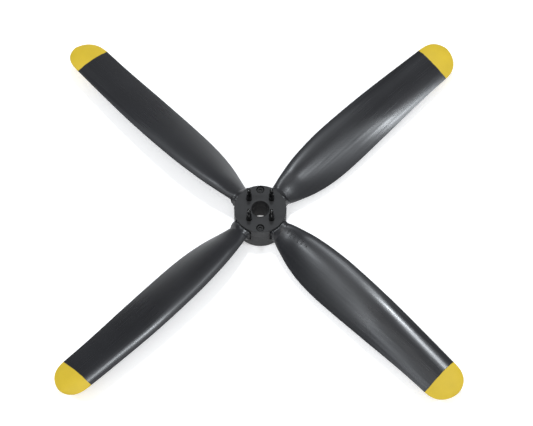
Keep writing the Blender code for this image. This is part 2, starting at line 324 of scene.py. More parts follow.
class GeometryTree(Wiring):
    """A Geometry Nodes tree with named inputs."""

    def __init__(self, name, inputs):
        super().__init__(bpy.data.node_groups.new(name, "GeometryNodeTree"))
        interface = self.tree.interface
        interface.new_socket("Geometry", in_out="INPUT", socket_type="NodeSocketGeometry")
        for label, kind in inputs:
            interface.new_socket(label, in_out="INPUT", socket_type="NodeSocket" + kind)
        interface.new_socket("Geometry", in_out="OUTPUT", socket_type="NodeSocketGeometry")
        self.source = self.tree.nodes.new("NodeGroupInput")
        self.sink = self.tree.nodes.new("NodeGroupOutput")

    def given(self, label):
        return self.source.outputs[label]

    def sampled(self, name, index, kind="FLOAT"):
        """A named attribute of the input points, read at one index."""
        if name == "position":
            value = self.node("GeometryNodeInputPosition").outputs[0]
        else:
            value = self.node("GeometryNodeInputNamedAttribute", {"Name": name}, data_type=kind)
            value = value.outputs["Attribute"]
        made = self.node("GeometryNodeSampleIndex", data_type=kind, domain="POINT")
        self.feed(made.inputs["Geometry"], self.given("Geometry"))
        self.feed(made.inputs["Value"], value)
        self.feed(made.inputs["Index"], index)
        return made.outputs["Value"]

    def tube(self, around):
        """A tube with one ring for each input point, and its cosine, sine and ring index fields."""
        count = self.node(
            "GeometryNodeAttributeDomainSize", {"Geometry": self.given("Geometry")}
        ).outputs["Point Count"]
        steps = self.minus(count, 1)
        tube = self.node(
            "GeometryNodeMeshCylinder",
            {"Vertices": around, "Side Segments": steps, "Radius": 1.0, "Depth": 1.0},
            fill_type="NONE",
        )
        place = self.node("GeometryNodeInputPosition").outputs[0]
        parts = self.node("ShaderNodeSeparateXYZ", {"Vector": place})
        ring = self.math("ROUND", self.times(self.plus(parts.outputs["Z"], 0.5), steps))
        return tube.outputs["Mesh"], parts.outputs["X"], parts.outputs["Y"], ring

    def store(self, mesh, name, value, kind="FLOAT"):
        made = self.node(
            "GeometryNodeStoreNamedAttribute",
            {"Geometry": mesh, "Name": name, "Value": value},
            data_type=kind,
            domain="POINT",
        )
        return made.outputs["Geometry"]

    def vector(self, x, y, z):
        return self.node("ShaderNodeCombineXYZ", {"X": x, "Y": y, "Z": z}).outputs[0]

    def placed(self, mesh, x, y, z, angle):
        """Moves the tube's points to x, y, z, turned about the bore axis."""
        spot = self.vector(x, y, z)
        turned = self.node(
            "ShaderNodeVectorRotate", {"Vector": spot, "Angle": angle}, rotation_type="Z_AXIS"
        ).outputs[0]
        moved = self.node("GeometryNodeSetPosition", {"Geometry": mesh, "Position": turned})
        return moved.outputs["Geometry"]

    def finish(self, mesh, merge):
        """Welds the seams, realises and gives the material."""
        welded = self.node("GeometryNodeMergeByDistance", {"Geometry": mesh, "Distance": merge})
        real = self.node(
            "GeometryNodeRealizeInstances", {"Geometry": welded.outputs["Geometry"]}
        )
        coated = self.node(
            "GeometryNodeSetMaterial",
            {"Geometry": real.outputs["Geometry"], "Material": self.given("Material")},
        )
        self.feed(self.sink.inputs["Geometry"], coated.outputs["Geometry"])
        return self.tree


def blade_tree():
    """Lofts a blade round a row of points that carry each section's sizes."""
    inputs = (
        ("Section Points", "Int"),
        ("Camber", "Float"),
        ("Camber Peak", "Float"),
        ("Trailing Edge", "Float"),
        ("Paint Line", "Float"),
        ("Blade Angle", "Float"),
        ("Material", "Material"),
    )
    tree = GeometryTree("Blade Loft", inputs)
    mesh, cosine, sine, ring = tree.tube(tree.given("Section Points"))
    root = tree.node(
        "ShaderNodeSeparateXYZ", {"Vector": tree.sampled("position", ring, "FLOAT_VECTOR")}
    )
    chord = tree.sampled("chord", ring)
    thickness = tree.sampled("thickness", ring)
    twist = tree.sampled("twist", ring)
    aerofoil = tree.sampled("aerofoil", ring)
    power = tree.sampled("power", ring)

    x = tree.times(tree.plus(cosine, 1.0), 0.5)
    peak = tree.given("Camber Peak")
    hump = tree.minus(tree.times(tree.times(peak, 2.0), x), tree.times(x, x))
    front_bend = tree.math("DIVIDE", hump, tree.times(peak, peak))
    behind = tree.minus(1.0, peak)
    rear_hump = tree.plus(tree.minus(1.0, tree.times(peak, 2.0)), hump)
    rear_bend = tree.math("DIVIDE", rear_hump, tree.times(behind, behind))
    bend = tree.mix(rear_bend, front_bend, tree.math("LESS_THAN", x, peak))
    mean_line = tree.times(tree.times(bend, tree.given("Camber")), chord)

    shape = tree.times(tree.math("SQRT", x), SECTION_ROOT)
    for degree, factor in enumerate(SECTION_POWERS, 1):
        shape = tree.plus(shape, tree.times(tree.math("POWER", x, float(degree)), factor))
    half = tree.plus(
        tree.times(tree.times(shape, SECTION_SCALE), thickness),
        tree.times(tree.times(tree.given("Trailing Edge"), 0.5), x),
    )
    side = tree.math("SIGN", tree.math("SNAP", sine, 0.0001))
    face = tree.plus(mean_line, tree.times(side, half))

    def squared(value):
        return tree.times(
            tree.math("SIGN", value), tree.math("POWER", tree.math("ABSOLUTE", value), power)
        )

    oval = tree.times(tree.times(squared(sine), 0.5), thickness)
    up = tree.mix(oval, face, aerofoil)
    along = tree.times(tree.times(squared(cosine), -0.5), chord)
    lean, rise = tree.math("COSINE", twist), tree.math("SINE", twist)
    y = tree.minus(
        tree.plus(root.outputs["Y"], tree.times(along, lean)), tree.times(up, rise)
    )
    z = tree.plus(
        tree.plus(root.outputs["Z"], tree.times(along, rise)), tree.times(up, lean)
    )
    mesh = tree.store(mesh, "past_paint", tree.minus(root.outputs["X"], tree.given("Paint Line")))
    mesh = tree.store(mesh, "from_front_edge", tree.times(x, chord))
    flow = tree.vector(root.outputs["X"], along, up)
    mesh = tree.store(mesh, "flow", flow, "FLOAT_VECTOR")
    mesh = tree.placed(mesh, root.outputs["X"], y, z, tree.given("Blade Angle"))
    return tree.finish(mesh, WELD)


def turned_tree():
    """Turns a profile of points round an axis; points may ask for a hexagon or a knurl."""
    inputs = (
        ("Segments", "Int"),
        ("Axis Distance", "Float"),
        ("Axis Angle", "Float"),
        ("Knurl Teeth", "Float"),
        ("Knurl Depth", "Float"),
        ("Material", "Material"),
    )
    tree = GeometryTree("Turned Piece", inputs)
    mesh, cosine, sine, ring = tree.tube(tree.given("Segments"))
    spot = tree.node(
        "ShaderNodeSeparateXYZ", {"Vector": tree.sampled("position", ring, "FLOAT_VECTOR")}
    )
    flats = tree.sampled("across_flats", ring)
    knurl = tree.sampled("knurl", ring)
    theta = tree.math("ARCTAN2", sine, cosine)
    sixth = math.pi / 6
    within = tree.math("WRAP", theta, sixth, -sixth)
    hexagon = tree.math("DIVIDE", tree.times(flats, 0.5), tree.math("COSINE", within))
    # A point with no flats keeps its own radius, because its hexagon is made a metre larger.
    is_round = tree.math("LESS_THAN", flats, WELD)
    radius = tree.math("MINIMUM", spot.outputs["X"], tree.plus(hexagon, is_round))
    wave = tree.plus(tree.math("COSINE", tree.times(theta, tree.given("Knurl Teeth"))), -1.0)
    groove = tree.times(tree.times(wave, 0.5), tree.times(knurl, tree.given("Knurl Depth")))
    radius = tree.plus(radius, groove)
    mesh = tree.placed(
        mesh,
        tree.plus(tree.times(radius, cosine), tree.given("Axis Distance")),
        tree.times(radius, sine),
        spot.outputs["Z"],
        tree.given("Axis Angle"),
    )
    return tree.finish(mesh, WELD)


def tree_named(name, maker):
    return bpy.data.node_groups.get(name) or maker()


def grown(obj, tree, inputs):
    """Replaces the object's points by the plain mesh that the tree makes of them."""
    identifiers = {
        item.name: item.identifier
        for item in tree.interface.items_tree
        if item.item_type == "SOCKET" and item.in_out == "INPUT"
    }
    modifier = obj.modifiers.new("Grow", "NODES")
    modifier.node_group = tree
    for name, value in inputs.items():
        modifier[identifiers[name]] = value
    bpy.context.view_layer.update()
    graph = bpy.context.evaluated_depsgraph_get()
    mesh = bpy.data.meshes.new_from_object(obj.evaluated_get(graph), depsgraph=graph)
    obj.modifiers.remove(modifier)
    obj.data = mesh
    mesh.name = obj.name
    facing_out(mesh)
    return obj


def facing_out(mesh):
    """Turns every face of a closed mesh outwards."""
    shape = bmesh.new()
    shape.from_mesh(mesh)
    bmesh.ops.remove_doubles(shape, verts=shape.verts, dist=WELD)
    bmesh.ops.recalc_face_normals(shape, faces=shape.faces)
    if shape.calc_volume(signed=True) < 0:
        bmesh.ops.reverse_faces(shape, faces=shape.faces)
    shape.to_mesh(mesh)
    shape.free()
    one_material(mesh)
    mesh.shade_smooth()
    mesh.set_sharp_from_angle(angle=SHARP_EDGE)


def one_material(mesh):
    """Gives every face the piece's own material, cut faces too, and drops empty slots."""
    material = next(found for found in mesh.materials if found)
    mesh.materials.clear()
    mesh.materials.append(material)
    mesh.polygons.foreach_set("material_index", [0] * len(mesh.polygons))


def linked(name, data):
    """A new object in the scene, at the origin."""
    obj = bpy.data.objects.new(name, data)
    bpy.context.scene.collection.objects.link(obj)
    return obj


def point_object(name, points, **attributes):
    """An object of loose points that carry float attributes, for a tree to grow on."""
    mesh = bpy.data.meshes.new(name)
    mesh.from_pydata(points, [(i, i + 1) for i in range(len(points) - 1)], [])
    for label, values in attributes.items():
        mesh.attributes.new(label, "FLOAT", "POINT").data.foreach_set("value", values)
    return linked(name, mesh)


def shape_object(name, shape, place):
    """An object of an edited shape, with its place in its mesh."""
    mesh = bpy.data.meshes.new(name)
    shape.to_mesh(mesh)
    shape.free()
    mesh.transform(place)
    return linked(name, mesh)


def handed_over(obj, slot, *nodes):
    """Puts a finished piece in place of its CAD nodes."""
    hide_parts(*nodes)
    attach(obj, BODY)
    return obj


def remove_helpers(helpers):
    for helper in helpers:
        mesh = helper.data
        bpy.data.objects.remove(helper, do_unlink=True)
        bpy.data.meshes.remove(mesh)


def carved(obj, cutters, operation="DIFFERENCE"):
    """Cuts or joins other objects, exactly, and bakes the result."""
    for cutter in cutters:
        modifier = obj.modifiers.new("Carve", "BOOLEAN")
        modifier.operation = operation
        modifier.solver = "EXACT"
        modifier.object = cutter
    bpy.context.view_layer.update()
    graph = bpy.context.evaluated_depsgraph_get()
    mesh = bpy.data.meshes.new_from_object(obj.evaluated_get(graph), depsgraph=graph)
    obj.modifiers.clear()
    obj.data = mesh
    mesh.name = obj.name
    remove_helpers(cutters)
    facing_out(mesh)
    return obj


def rounded_outline(corners, closed):
    """Points of an outline given as (radius, height, fillet), with each fillet an arc."""
    points = []
    for i, (across, height, fillet) in enumerate(corners):
        here = Vector((across, height))
        if not fillet:
            points.append(here)
            continue
        before = (Vector(corners[i - 1][:2]) - here).normalized()
        after = (Vector(corners[(i + 1) % len(corners)][:2]) - here).normalized()
        half = before.angle(after) / 2
        centre = here + (before + after).normalized() * fillet / math.sin(half)
        start = here + before * fillet / math.tan(half) - centre
        swing = math.copysign(math.pi - 2 * half, after.cross(before))
        for step in range(FILLET_STEPS + 1):
            turn = Matrix.Rotation(swing * step / FILLET_STEPS, 2)
            points.append(centre + turn @ start)
    if closed:
        points.append(points[0].copy())
    return points


# Materials -------------------------------------------------------------------------------------


def new_material(name):
    """An empty material: its wiring and its Principled shader."""
    material = bpy.data.materials.new(name)
    material.use_nodes = True
    wiring = Wiring(material.node_tree)
    return material, wiring, material.node_tree.nodes["Principled BSDF"]


def object_place(wiring):
    return wiring.node("ShaderNodeTexCoord").outputs["Object"]


def bump(wiring, shader, height, distance, below=None):
    """Raises the surface by a height field, over the bump below it if there is one."""
    made = wiring.node("ShaderNodeBump", {"Height": height, "Distance": distance, "Strength": 1.0})
    if below is not None:
        wiring.feed(made.inputs["Normal"], below)
    wiring.feed(shader.inputs["Normal"], made.outputs["Normal"])
    return made.outputs["Normal"]


def scaled(colour_value, factor):
    return tuple(channel * factor for channel in colour_value)


def paint_colour(wiring, place, edge):
    """Yellow paint, faintly patchy and darker where it thins out at its edge."""
    patches = wiring.ramp(wiring.noise(place, 120.0, 4.0, 0.6, 11.0), 0.25, 0.75)
    paint = wiring.blend_colour(
        scaled(colours().tip_paint, 0.93), scaled(colours().tip_paint, 1.05), patches
    )
    covered = wiring.ramp(edge, 0.0, THIN_PAINT)
    return wiring.blend_colour(scaled(colours().tip_paint, 0.80), paint, covered)


def plastic_roughness(wiring, flow, streaks, scratches):
    """Streaked gloss, duller inside mid-span, glossier at the root and scuffed on the front edge."""
    radius = wiring.node("ShaderNodeSeparateXYZ", {"Vector": flow}).outputs["X"]
    front = wiring.node("ShaderNodeAttribute", attribute_name="from_front_edge").outputs["Fac"]
    rough = wiring.ramp(streaks, 0.3, 0.7, 0.18, 0.27)
    rough = wiring.plus(rough, wiring.times(scratches, 0.10))
    rough = wiring.plus(rough, wiring.ramp(radius, *MID_GLOSS, 0.15, 0.0))
    rough = wiring.minus(rough, wiring.ramp(radius, *ROOT_GLOSS, 0.05, 0.0))
    scuffed = wiring.ramp(front, *SCUFF_WIDTH, 1.0, 0.0)
    scuffed = wiring.times(scuffed, wiring.ramp(radius, *SCUFFED_SPAN, 0.22, 0.06))
    return wiring.plus(rough, scuffed)


def blade_material():
    """Black moulded plastic with lengthwise flow marks and fine scratches, and painted tips."""
    material, wiring, shader = new_material("blade plastic and tip paint")
    place = object_place(wiring)
    flow = wiring.node("ShaderNodeAttribute", attribute_name="flow").outputs["Vector"]
    past = wiring.node("ShaderNodeAttribute", attribute_name="past_paint").outputs["Fac"]

    wander = wiring.noise(place, 260.0, 3.0)
    wobble = wiring.ramp(wander, 0.3, 0.7, -PAINT_WOBBLE, PAINT_WOBBLE)
    edge = wiring.plus(past, wobble)
    painted = wiring.ramp(edge, 0.0, PAINT_BLUR)

    stretched = wiring.node("ShaderNodeMapping", {"Vector": flow, "Scale": (18.0, 900.0, 40.0)})
    streaks = wiring.noise(stretched.outputs[0], 1.0, 3.0, 0.6)
    hairline = wiring.node("ShaderNodeMapping", {"Vector": flow, "Scale": (55.0, 5200.0, 200.0)})
    scratches = wiring.ramp(wiring.noise(hairline.outputs[0], 1.0, 2.0, 0.5, 7.0), 0.66, 0.74)
    cloud = wiring.noise(place, 45.0, 4.0, 0.55, 3.0)

    dark, light = scaled(colours().blade, 0.85), scaled(colours().blade, 1.25)
    plastic = wiring.blend_colour(dark, light, wiring.ramp(cloud, 0.3, 0.7))
    paint = paint_colour(wiring, place, edge)
    wiring.feed(shader.inputs["Base Color"], wiring.blend_colour(plastic, paint, painted))

    plastic_rough = plastic_roughness(wiring, flow, streaks, scratches)
    paint_rough = wiring.ramp(cloud, 0.3, 0.7, 0.58, 0.66)
    wiring.feed(shader.inputs["Roughness"], wiring.mix(plastic_rough, paint_rough, painted))

    grain = bump(wiring, shader, wiring.noise(place, 1500.0, 2.0, 0.5, 5.0), 0.000002)
    lines = wiring.plus(streaks, wiring.times(scratches, -0.6))
    lined = bump(wiring, shader, lines, 0.000004, below=grain)
    bump(wiring, shader, painted, 0.00004, below=lined)
    return material


def hub_material():
    """Satin black moulded plastic with a fine even grain."""
    material, wiring, shader = new_material("hub plastic")
    place = object_place(wiring)
    cloud = wiring.noise(place, 160.0, 4.0, 0.6)
    grain = wiring.noise(place, 5200.0, 3.0, 0.6, 2.0)
    dark, light = scaled(colours().hub, 0.85), scaled(colours().hub, 1.2)
    mottled = wiring.blend_colour(dark, light, wiring.ramp(cloud, 0.3, 0.7))
    wiring.feed(shader.inputs["Base Color"], mottled)
    wiring.feed(shader.inputs["Roughness"], wiring.ramp(cloud, 0.3, 0.7, 0.60, 0.68))
    bump(wiring, shader, grain, 0.000006)
    return material


def oxide_material(name, tint, low, high):
    """Black-oxide steel: dark and mottled, with its roughness between low and high."""
    material, wiring, shader = new_material(name)
    place = object_place(wiring)
    mottle = wiring.ramp(wiring.noise(place, 900.0, 4.0, 0.6), 0.35, 0.7)
    wiring.feed(
        shader.inputs["Base Color"],
        wiring.blend_colour(scaled(tint, 0.8), scaled(tint, 1.35), mottle),
    )
    wiring.feed(shader.inputs["Roughness"], wiring.ramp(mottle, 0.0, 1.0, low, high))
    shader.inputs["Specular IOR Level"].default_value = 0.4
    bump(wiring, shader, wiring.noise(place, 4200.0, 2.0, 0.5, 4.0), 0.000003)
    return material


def zinc_material():
    """Zinc-plated steel with a faint bluish mottle."""
    material, wiring, shader = new_material("nut zinc plate")
    place = object_place(wiring)
    mottle = wiring.ramp(wiring.noise(place, 700.0, 4.0, 0.6), 0.3, 0.7)
    wiring.feed(
        shader.inputs["Base Color"],
        wiring.blend_colour(scaled(colours().nut, 0.8), colours().nut, mottle),
    )
    wiring.feed(shader.inputs["Roughness"], wiring.ramp(mottle, 0.0, 1.0, 0.24, 0.4))
    shader.inputs["Metallic"].default_value = 1.0
    bump(wiring, shader, wiring.noise(place, 3800.0, 2.0, 0.5, 6.0), 0.000003)
    return material


def floor_material():
    material, wiring, shader = new_material("pale floor")
    place = object_place(wiring)
    tone = wiring.ramp(wiring.noise(place, 3.0, 3.0), 0.3, 0.7)
    wiring.feed(
        shader.inputs["Base Color"],
        wiring.blend_colour(scaled(colours().floor, 0.99), colours().floor, tone),
    )
    shader.inputs["Roughness"].default_value = 0.75
    shader.inputs["Emission Color"].default_value = (1.0, 1.0, 1.0, 1.0)
    shader.inputs["Emission Strength"].default_value = 0.34
    return material


# Blades ----------------------------------------------------------------------------------------


def station_value(radius, column):
    """A station table column at any radius, as a smooth cubic through the stations."""
    last = len(STATIONS) - 1
    i = max(k for k in range(last) if k == 0 or STATIONS[k][0] <= radius)

    def slope(k):
        before, after = STATIONS[max(k - 1, 0)], STATIONS[min(k + 1, last)]
        return (after[column] - before[column]) / (after[0] - before[0])

    start, end = STATIONS[i], STATIONS[i + 1]
    step = end[0] - start[0]
    t = (radius - start[0]) / step
    rise = (3 - 2 * t) * t * t
    return (
        (1 - rise) * start[column]
        + rise * end[column]
        + step * t * (1 - t) * ((1 - t) * slope(i) - t * slope(i + 1))
    )


def smooth_step(value, low, high):
    t = min(max((value - low) / (high - low), 0.0), 1.0)
    return t * t * (3 - 2 * t)


def mixed(a, b, share):
    return a + (b - a) * share


def tang_station(radius):
    """(sweep, height, chord, thickness, twist, aerofoil share, power) inside the pocket."""
    along = (radius - POCKET_INNER_RADIUS) / (POCKET_MOUTH_RADIUS - POCKET_INNER_RADIUS)
    half_width = mixed(POCKET_INNER_HALF_WIDTH, POCKET_MOUTH_HALF_WIDTH, along) - FACE_GAP
    half_height = (POCKET_CEILING - POCKET_FLOOR) / 2 - FACE_GAP
    middle = (POCKET_CEILING + POCKET_FLOOR) / 2
    return 0.0, middle, 2 * half_width, 2 * half_height, 0.0, 0.0, TANG_POWER


def blade_station(radius):
    """(sweep, height, chord, thickness, twist, aerofoil share, power) outside the pocket."""
    chord = station_value(radius, CHORD)
    sweep = station_value(radius, SWEEP)
    thickness = station_value(radius, THICKNESS)
    twist = math.radians(station_value(radius, ANGLE))
    height = STACK_HEIGHT - STACK_DROP * radius / TIP_RADIUS
    if radius > TIP_START:
        t = (radius - TIP_START) / (TIP_RADIUS - TIP_START)
        shrink = (1 - t**TIP_POWER) ** (1 / TIP_ROUNDNESS)
        chord *= shrink
        thickness *= mixed(TIP_THICKNESS, 1.0, shrink)
        sweep += TIP_SWEEP * t * t
    aerofoil = smooth_step(radius, NECK_RADIUS, AEROFOIL_START)
    return sweep, height, chord, thickness, twist, aerofoil, 1.0


def blade_rows():
    """(radius, station) of every ring of the fine blade, from the tang to the tip."""
    rows = []
    start = POCKET_INNER_RADIUS + FACE_GAP
    for step in range(TANG_STEPS + 1):
        radius = mixed(start, TANG_END, step / TANG_STEPS)
        rows.append((radius, tang_station(radius)))
    tang, neck = tang_station(TANG_END), blade_station(NECK_RADIUS)
    for step in range(1, NECK_STEPS):
        share = step / NECK_STEPS
        radius = mixed(TANG_END, NECK_RADIUS, share)
        rows.append((radius, [mixed(a, b, share) for a, b in zip(tang, neck)]))
    for step in range(BLADE_STEPS + 1):
        radius = mixed(NECK_RADIUS, TIP_START, (step / BLADE_STEPS) ** BLADE_CROWDING)
        rows.append((radius, blade_station(radius)))
    tip_length = TIP_RADIUS - TIP_START
    for step in range(1, TIP_STEPS + 1):
        radius = TIP_START + tip_length * math.sin(math.pi / 2 * step / TIP_SPREAD)
        rows.append((radius, blade_station(radius)))
    rows.append((TIP_RADIUS, blade_station(TIP_RADIUS - LAST_RING * tip_length)))
    return rows


def with_end_points(rows):
    """Closes both ends: each end ring repeats as a point, an oval of no width."""
    closed = [
        (radius, (sweep, height, 0.0, 0.0, twist, 0.0, power))
        for radius, (sweep, height, _, _, twist, _, power) in (rows[0], rows[-1])
    ]
    return [closed[0], *rows, closed[1]]


def blade_rail(name):
    """The row of points that the blade tree lofts round."""
    rows = with_end_points(blade_rows())
    points = [(radius, station[0], station[1]) for radius, station in rows]
    columns = dict(zip(("chord", "thickness", "twist", "aerofoil", "power"), range(2, 7)))
    values = {label: [station[i] for _, station in rows] for label, i in columns.items()}
    return point_object(name, points, **values)


def pin_hole_cutter(angle, radius, low, high):
    shape = bmesh.new()
    bmesh.ops.create_cone(
        shape,
        cap_ends=True,
        segments=HOLE_SEGMENTS,
        radius1=radius,
        radius2=radius,
        depth=high - low,
    )
    place = Matrix.Translation((PIN_CIRCLE, 0, (low + high) / 2))
    return shape_object("hole cutter", shape, Matrix.Rotation(angle, 4, "Z") @ place)


def raised_mark(blade, angle, radius, across, length, width):
    """A small raised bar on a blade's front, square to the span and level with the surface."""
    turn = Matrix.Rotation(angle, 4, "Z")
    above = turn @ Vector((radius, across, HUB_TOP))
    found, place, normal, _ = blade.ray_cast(above, Vector((0, 0, -1)))
    if not found:
        raise RuntimeError("the raised mark misses the blade")
    span = (turn @ Vector((1, 0, 0, 0))).xyz
    chordwise = normal.cross(span).normalized()
    span = chordwise.cross(normal)
    shape = bmesh.new()
    bmesh.ops.create_cube(shape, size=1.0)
    bmesh.ops.scale(shape, vec=(width, length, 2 * MARK_SINK), verts=shape.verts)
    bmesh.ops.bevel(
        shape,
        geom=shape.edges[:],
        offset=MARK_ROUNDING,
        segments=3,
        profile=0.5,
        affect="EDGES",
    )
    middle = place + normal * (MARK_HEIGHT - MARK_SINK)
    axes = Matrix((span, chordwise, normal)).transposed().to_4x4()
    return shape_object("raised mark", shape, Matrix.Translation(middle) @ axes)


def raised_marks(blade, angle):
    """A row of plain moulded ticks, long and short by turns, and a dot at the end."""
    marks = []
    for k in range(MARK_COUNT):
        length = MARK_LENGTH if k % 2 else MARK_LENGTH * SHORT_MARK
        radius = MARK_START + MARK_SPACING * k
        marks.append(raised_mark(blade, angle, radius, MARK_ACROSS, length, MARK_WIDTH))
    radius = MARK_START + MARK_SPACING * (MARK_COUNT + DOT_GAP)
    marks.append(raised_mark(blade, angle, radius, MARK_ACROSS, DOT_SIZE, DOT_SIZE))
    return marks


def attributes_on_cuts(mesh, angle):
    """Corrects the attributes of the points that a cut or a mark added, all of them near the root."""
    back = Matrix.Rotation(-angle, 3, "Z")
    flow = mesh.attributes["flow"].data
    past_paint = mesh.attributes["past_paint"].data
    from_front_edge = mesh.attributes["from_front_edge"].data
    for i, vert in enumerate(mesh.vertices):
        place = back @ vert.co
        if abs(place.x - flow[i].vector.x) > MISPLACED:
            flow[i].vector = place
            past_paint[i].value = -TIP_RADIUS
            from_front_edge[i].value = MARK_LENGTH


class PROPELLER_OT_blades(bpy.types.Operator):
    """Make the four blades, with painted tips and an eye in each root for its pin"""

    bl_idname = "propeller.blades"
    bl_label = "Blades"

    def execute(self, context):
        material = blade_material()
        tree = tree_named("Blade Loft", blade_tree)
        for i, angle in enumerate(BLADE_ANGLES):
            rail = blade_rail(f"blade_{i + 1}_finished")
            blade = grown(
                rail,
                tree,
                {
                    "Section Points": sizes().section_points,
                    "Camber": sizes().camber,
                    "Camber Peak": sizes().camber_peak,
                    "Trailing Edge": sizes().trailing_edge,
                    "Paint Line": TIP_RADIUS - sizes().paint_length,
                    "Blade Angle": angle,
                    "Material": material,
                },
            )
            hole = pin_hole_cutter(angle, sizes().pin_shank / 2 + CLEARANCE, 0.0, HUB_TOP)
            carved(blade, [hole])
            if i == MARKED_BLADE:
                carved(blade, raised_marks(blade, angle), "UNION")
            attributes_on_cuts(blade.data, angle)
            handed_over(blade, "blade_plastic", f"blade_{i + 1}")
        return {"FINISHED"}


# Hub -------------------------------------------------------------------------------------------


def turned_object(name, points, material, segments, distance=0.0, angle=0.0, flats=None, knurl=None):
    """A turned piece: points are (radius, height), each with its own across-flats and knurl."""
    none = [0.0] * len(points)
    obj = point_object(
        name,
        [(point[0], 0.0, point[1]) for point in points],
        across_flats=flats or none,
        knurl=knurl or none,
    )
    tree = tree_named("Turned Piece", turned_tree)
    inputs = {
        "Segments": segments,
        "Axis Distance": distance,
        "Axis Angle": angle,
        "Knurl Teeth": KNURL_TEETH,
        "Knurl Depth": KNURL_DEPTH,
        "Material": material,
    }
    return grown(obj, tree, inputs)


def pocket_cutter(angle):
    """The wedge-shaped pocket for one blade root, with rounded corners."""
    shape = bmesh.new()
    bmesh.ops.create_cube(shape, size=1.0)
    for vert in shape.verts:
        outside = vert.co.x > 0
        half_width = POCKET_MOUTH_HALF_WIDTH if outside else POCKET_INNER_HALF_WIDTH
        vert.co.x = POCKET_MOUTH_RADIUS if outside else POCKET_INNER_RADIUS
        vert.co.y = math.copysign(half_width, vert.co.y)
        vert.co.z = POCKET_CEILING if vert.co.z > 0 else POCKET_FLOOR
    bmesh.ops.bevel(
        shape, geom=shape.edges[:], offset=POCKET_CORNER, segments=3, profile=0.5, affect="EDGES"
    )
    return shape_object("pocket cutter", shape, Matrix.Rotation(angle, 4, "Z"))


def hub_cutters(rear, material):
    """Every pocket and hole of one hub half; the cut walls take the hub's own material."""
    chamfer = 0.00003
    above = HUB_TOP + OVERRUN
    found = [pocket_cutter(angle) for angle in BLADE_ANGLES]
    pin = sizes().pin_shank / 2 + CLEARANCE
    foot = PIN_BOX[0].z - CLEARANCE
    for angle in BLADE_ANGLES:
        outline = [(0, above), (pin + chamfer + OVERRUN, above)]
        outline += [(pin + chamfer, HUB_TOP), (pin, HUB_TOP - chamfer), (pin, foot), (0, foot)]
        found.append(turned_object("pin hole", outline, material, HOLE_SEGMENTS, PIN_CIRCLE, angle))
    segments = sizes().turned_segments
    seat = SCREW_BOX[1].z - sizes().head_height - CLEARANCE
    bore = sizes().counterbore / 2
    shank = sizes().screw_shank / 2 + CLEARANCE
    for angle in SCREW_ANGLES:
        outline = [(0, above), (bore + chamfer / 2 + OVERRUN, above)]
        outline += [(bore + chamfer / 2, HUB_TOP), (bore, HUB_TOP - chamfer / 2)]
        outline += [(bore, seat), (shank, seat), (shank, -OVERRUN), (0, -OVERRUN)]
        found.append(turned_object("screw hole", outline, material, segments, SCREW_CIRCLE, angle))
    if rear:
        flats = sizes().nut_flats + 2 * CLEARANCE
        top = NUT_BOX[1].z + CLEARANCE
        for angle in SCREW_ANGLES:
            outline = [(0, top), (flats, top), (flats, -OVERRUN), (0, -OVERRUN)]
            hexagon = [flats] * len(outline)
            found.append(
                turned_object("nut pocket", outline, material, segments, SCREW_CIRCLE, angle, hexagon)
            )
    return found


class PROPELLER_OT_hub(bpy.types.Operator):
    """Make the two hub halves, with the pockets and holes that hold the other pieces"""

    bl_idname = "propeller.hub"
    bl_label = "Hub"

    def execute(self, context):
        material = hub_material()
        bore = sizes().bore_diameter / 2
        rim = sizes().rim_fillet
        edge = 0.00005
        lip = 0.0005
        parting = (HUB_FRONT_LOW.z + HUB_REAR_HIGH.z) / 2
        seam = 0.00001
        halves = (
            ("hub_front", parting + seam, HUB_FRONT_HIGH.z, edge, rim, lip),
            ("hub_rear", HUB_REAR_LOW.z, parting - seam, lip, edge, edge),
        )
        for name, low, high, low_round, high_round, mouth in halves:
            corners = (
                (bore, high, mouth),
                (HUB_RADIUS, high, high_round),
                (HUB_RADIUS, low, low_round),
                (bore, low, low_round),
            )
            points = rounded_outline(corners, closed=True)
            half = turned_object(name + "_finished", points, material, sizes().hub_segments)
            carved(half, hub_cutters(name == "hub_rear", material))
            for face in half.data.polygons:
                face.use_smooth = abs(face.normal.z) < FLAT_NORMAL
            handed_over(half, "hub_plastic", name)
        return {"FINISHED"}


# Pins, screws and nuts -------------------------------------------------------------------------


class PROPELLER_OT_pins(bpy.types.Operator):
    """Make the four stepped pins that hold the blades and locate a spinner"""

    bl_idname = "propeller.pins"
    bl_label = "Blade pins"

    def execute(self, context):
        material = oxide_material("pin black oxide", colours().pin, 0.12, 0.20)
        nose, shank = sizes().pin_nose / 2, sizes().pin_shank / 2
        foot, tip = PIN_BOX[0].z, PIN_BOX[1].z
        dome, dome_edge, tip_fillet = 0.00007, 0.00022, 0.0002
        fillet, foot_fillet = 0.0003, 0.0001
        corners = [
            (0, tip, 0),
            (nose * 0.6, tip - dome, 0),
            (nose, tip - dome_edge, tip_fillet),
            (nose, HUB_TOP + PIN_TAPER_END, fillet),
            (shank, HUB_TOP + PIN_SHOULDER, fillet),
            (shank, foot, foot_fillet),
            (0, foot, 0),
        ]
        points = rounded_outline(corners, closed=False)
        for i, angle in enumerate(BLADE_ANGLES):
            node = f"blade_pin_{i + 1}"
            pin = turned_object(
                node + "_finished", points, material, sizes().turned_segments, PIN_CIRCLE, angle
            )
            handed_over(pin, "pin_steel", node)
        return {"FINISHED"}


def threaded(outer, inner, top, bottom, pitch):
    """Zigzag points down a thread, from its top crest to its bottom one."""
    turns = int((top - bottom) / pitch)
    points = []
    for k in range(turns):
        points.append((outer, top - k * pitch))
        points.append((inner, top - (k + 0.5) * pitch))
    points.append((outer, top - turns * pitch))
    return points


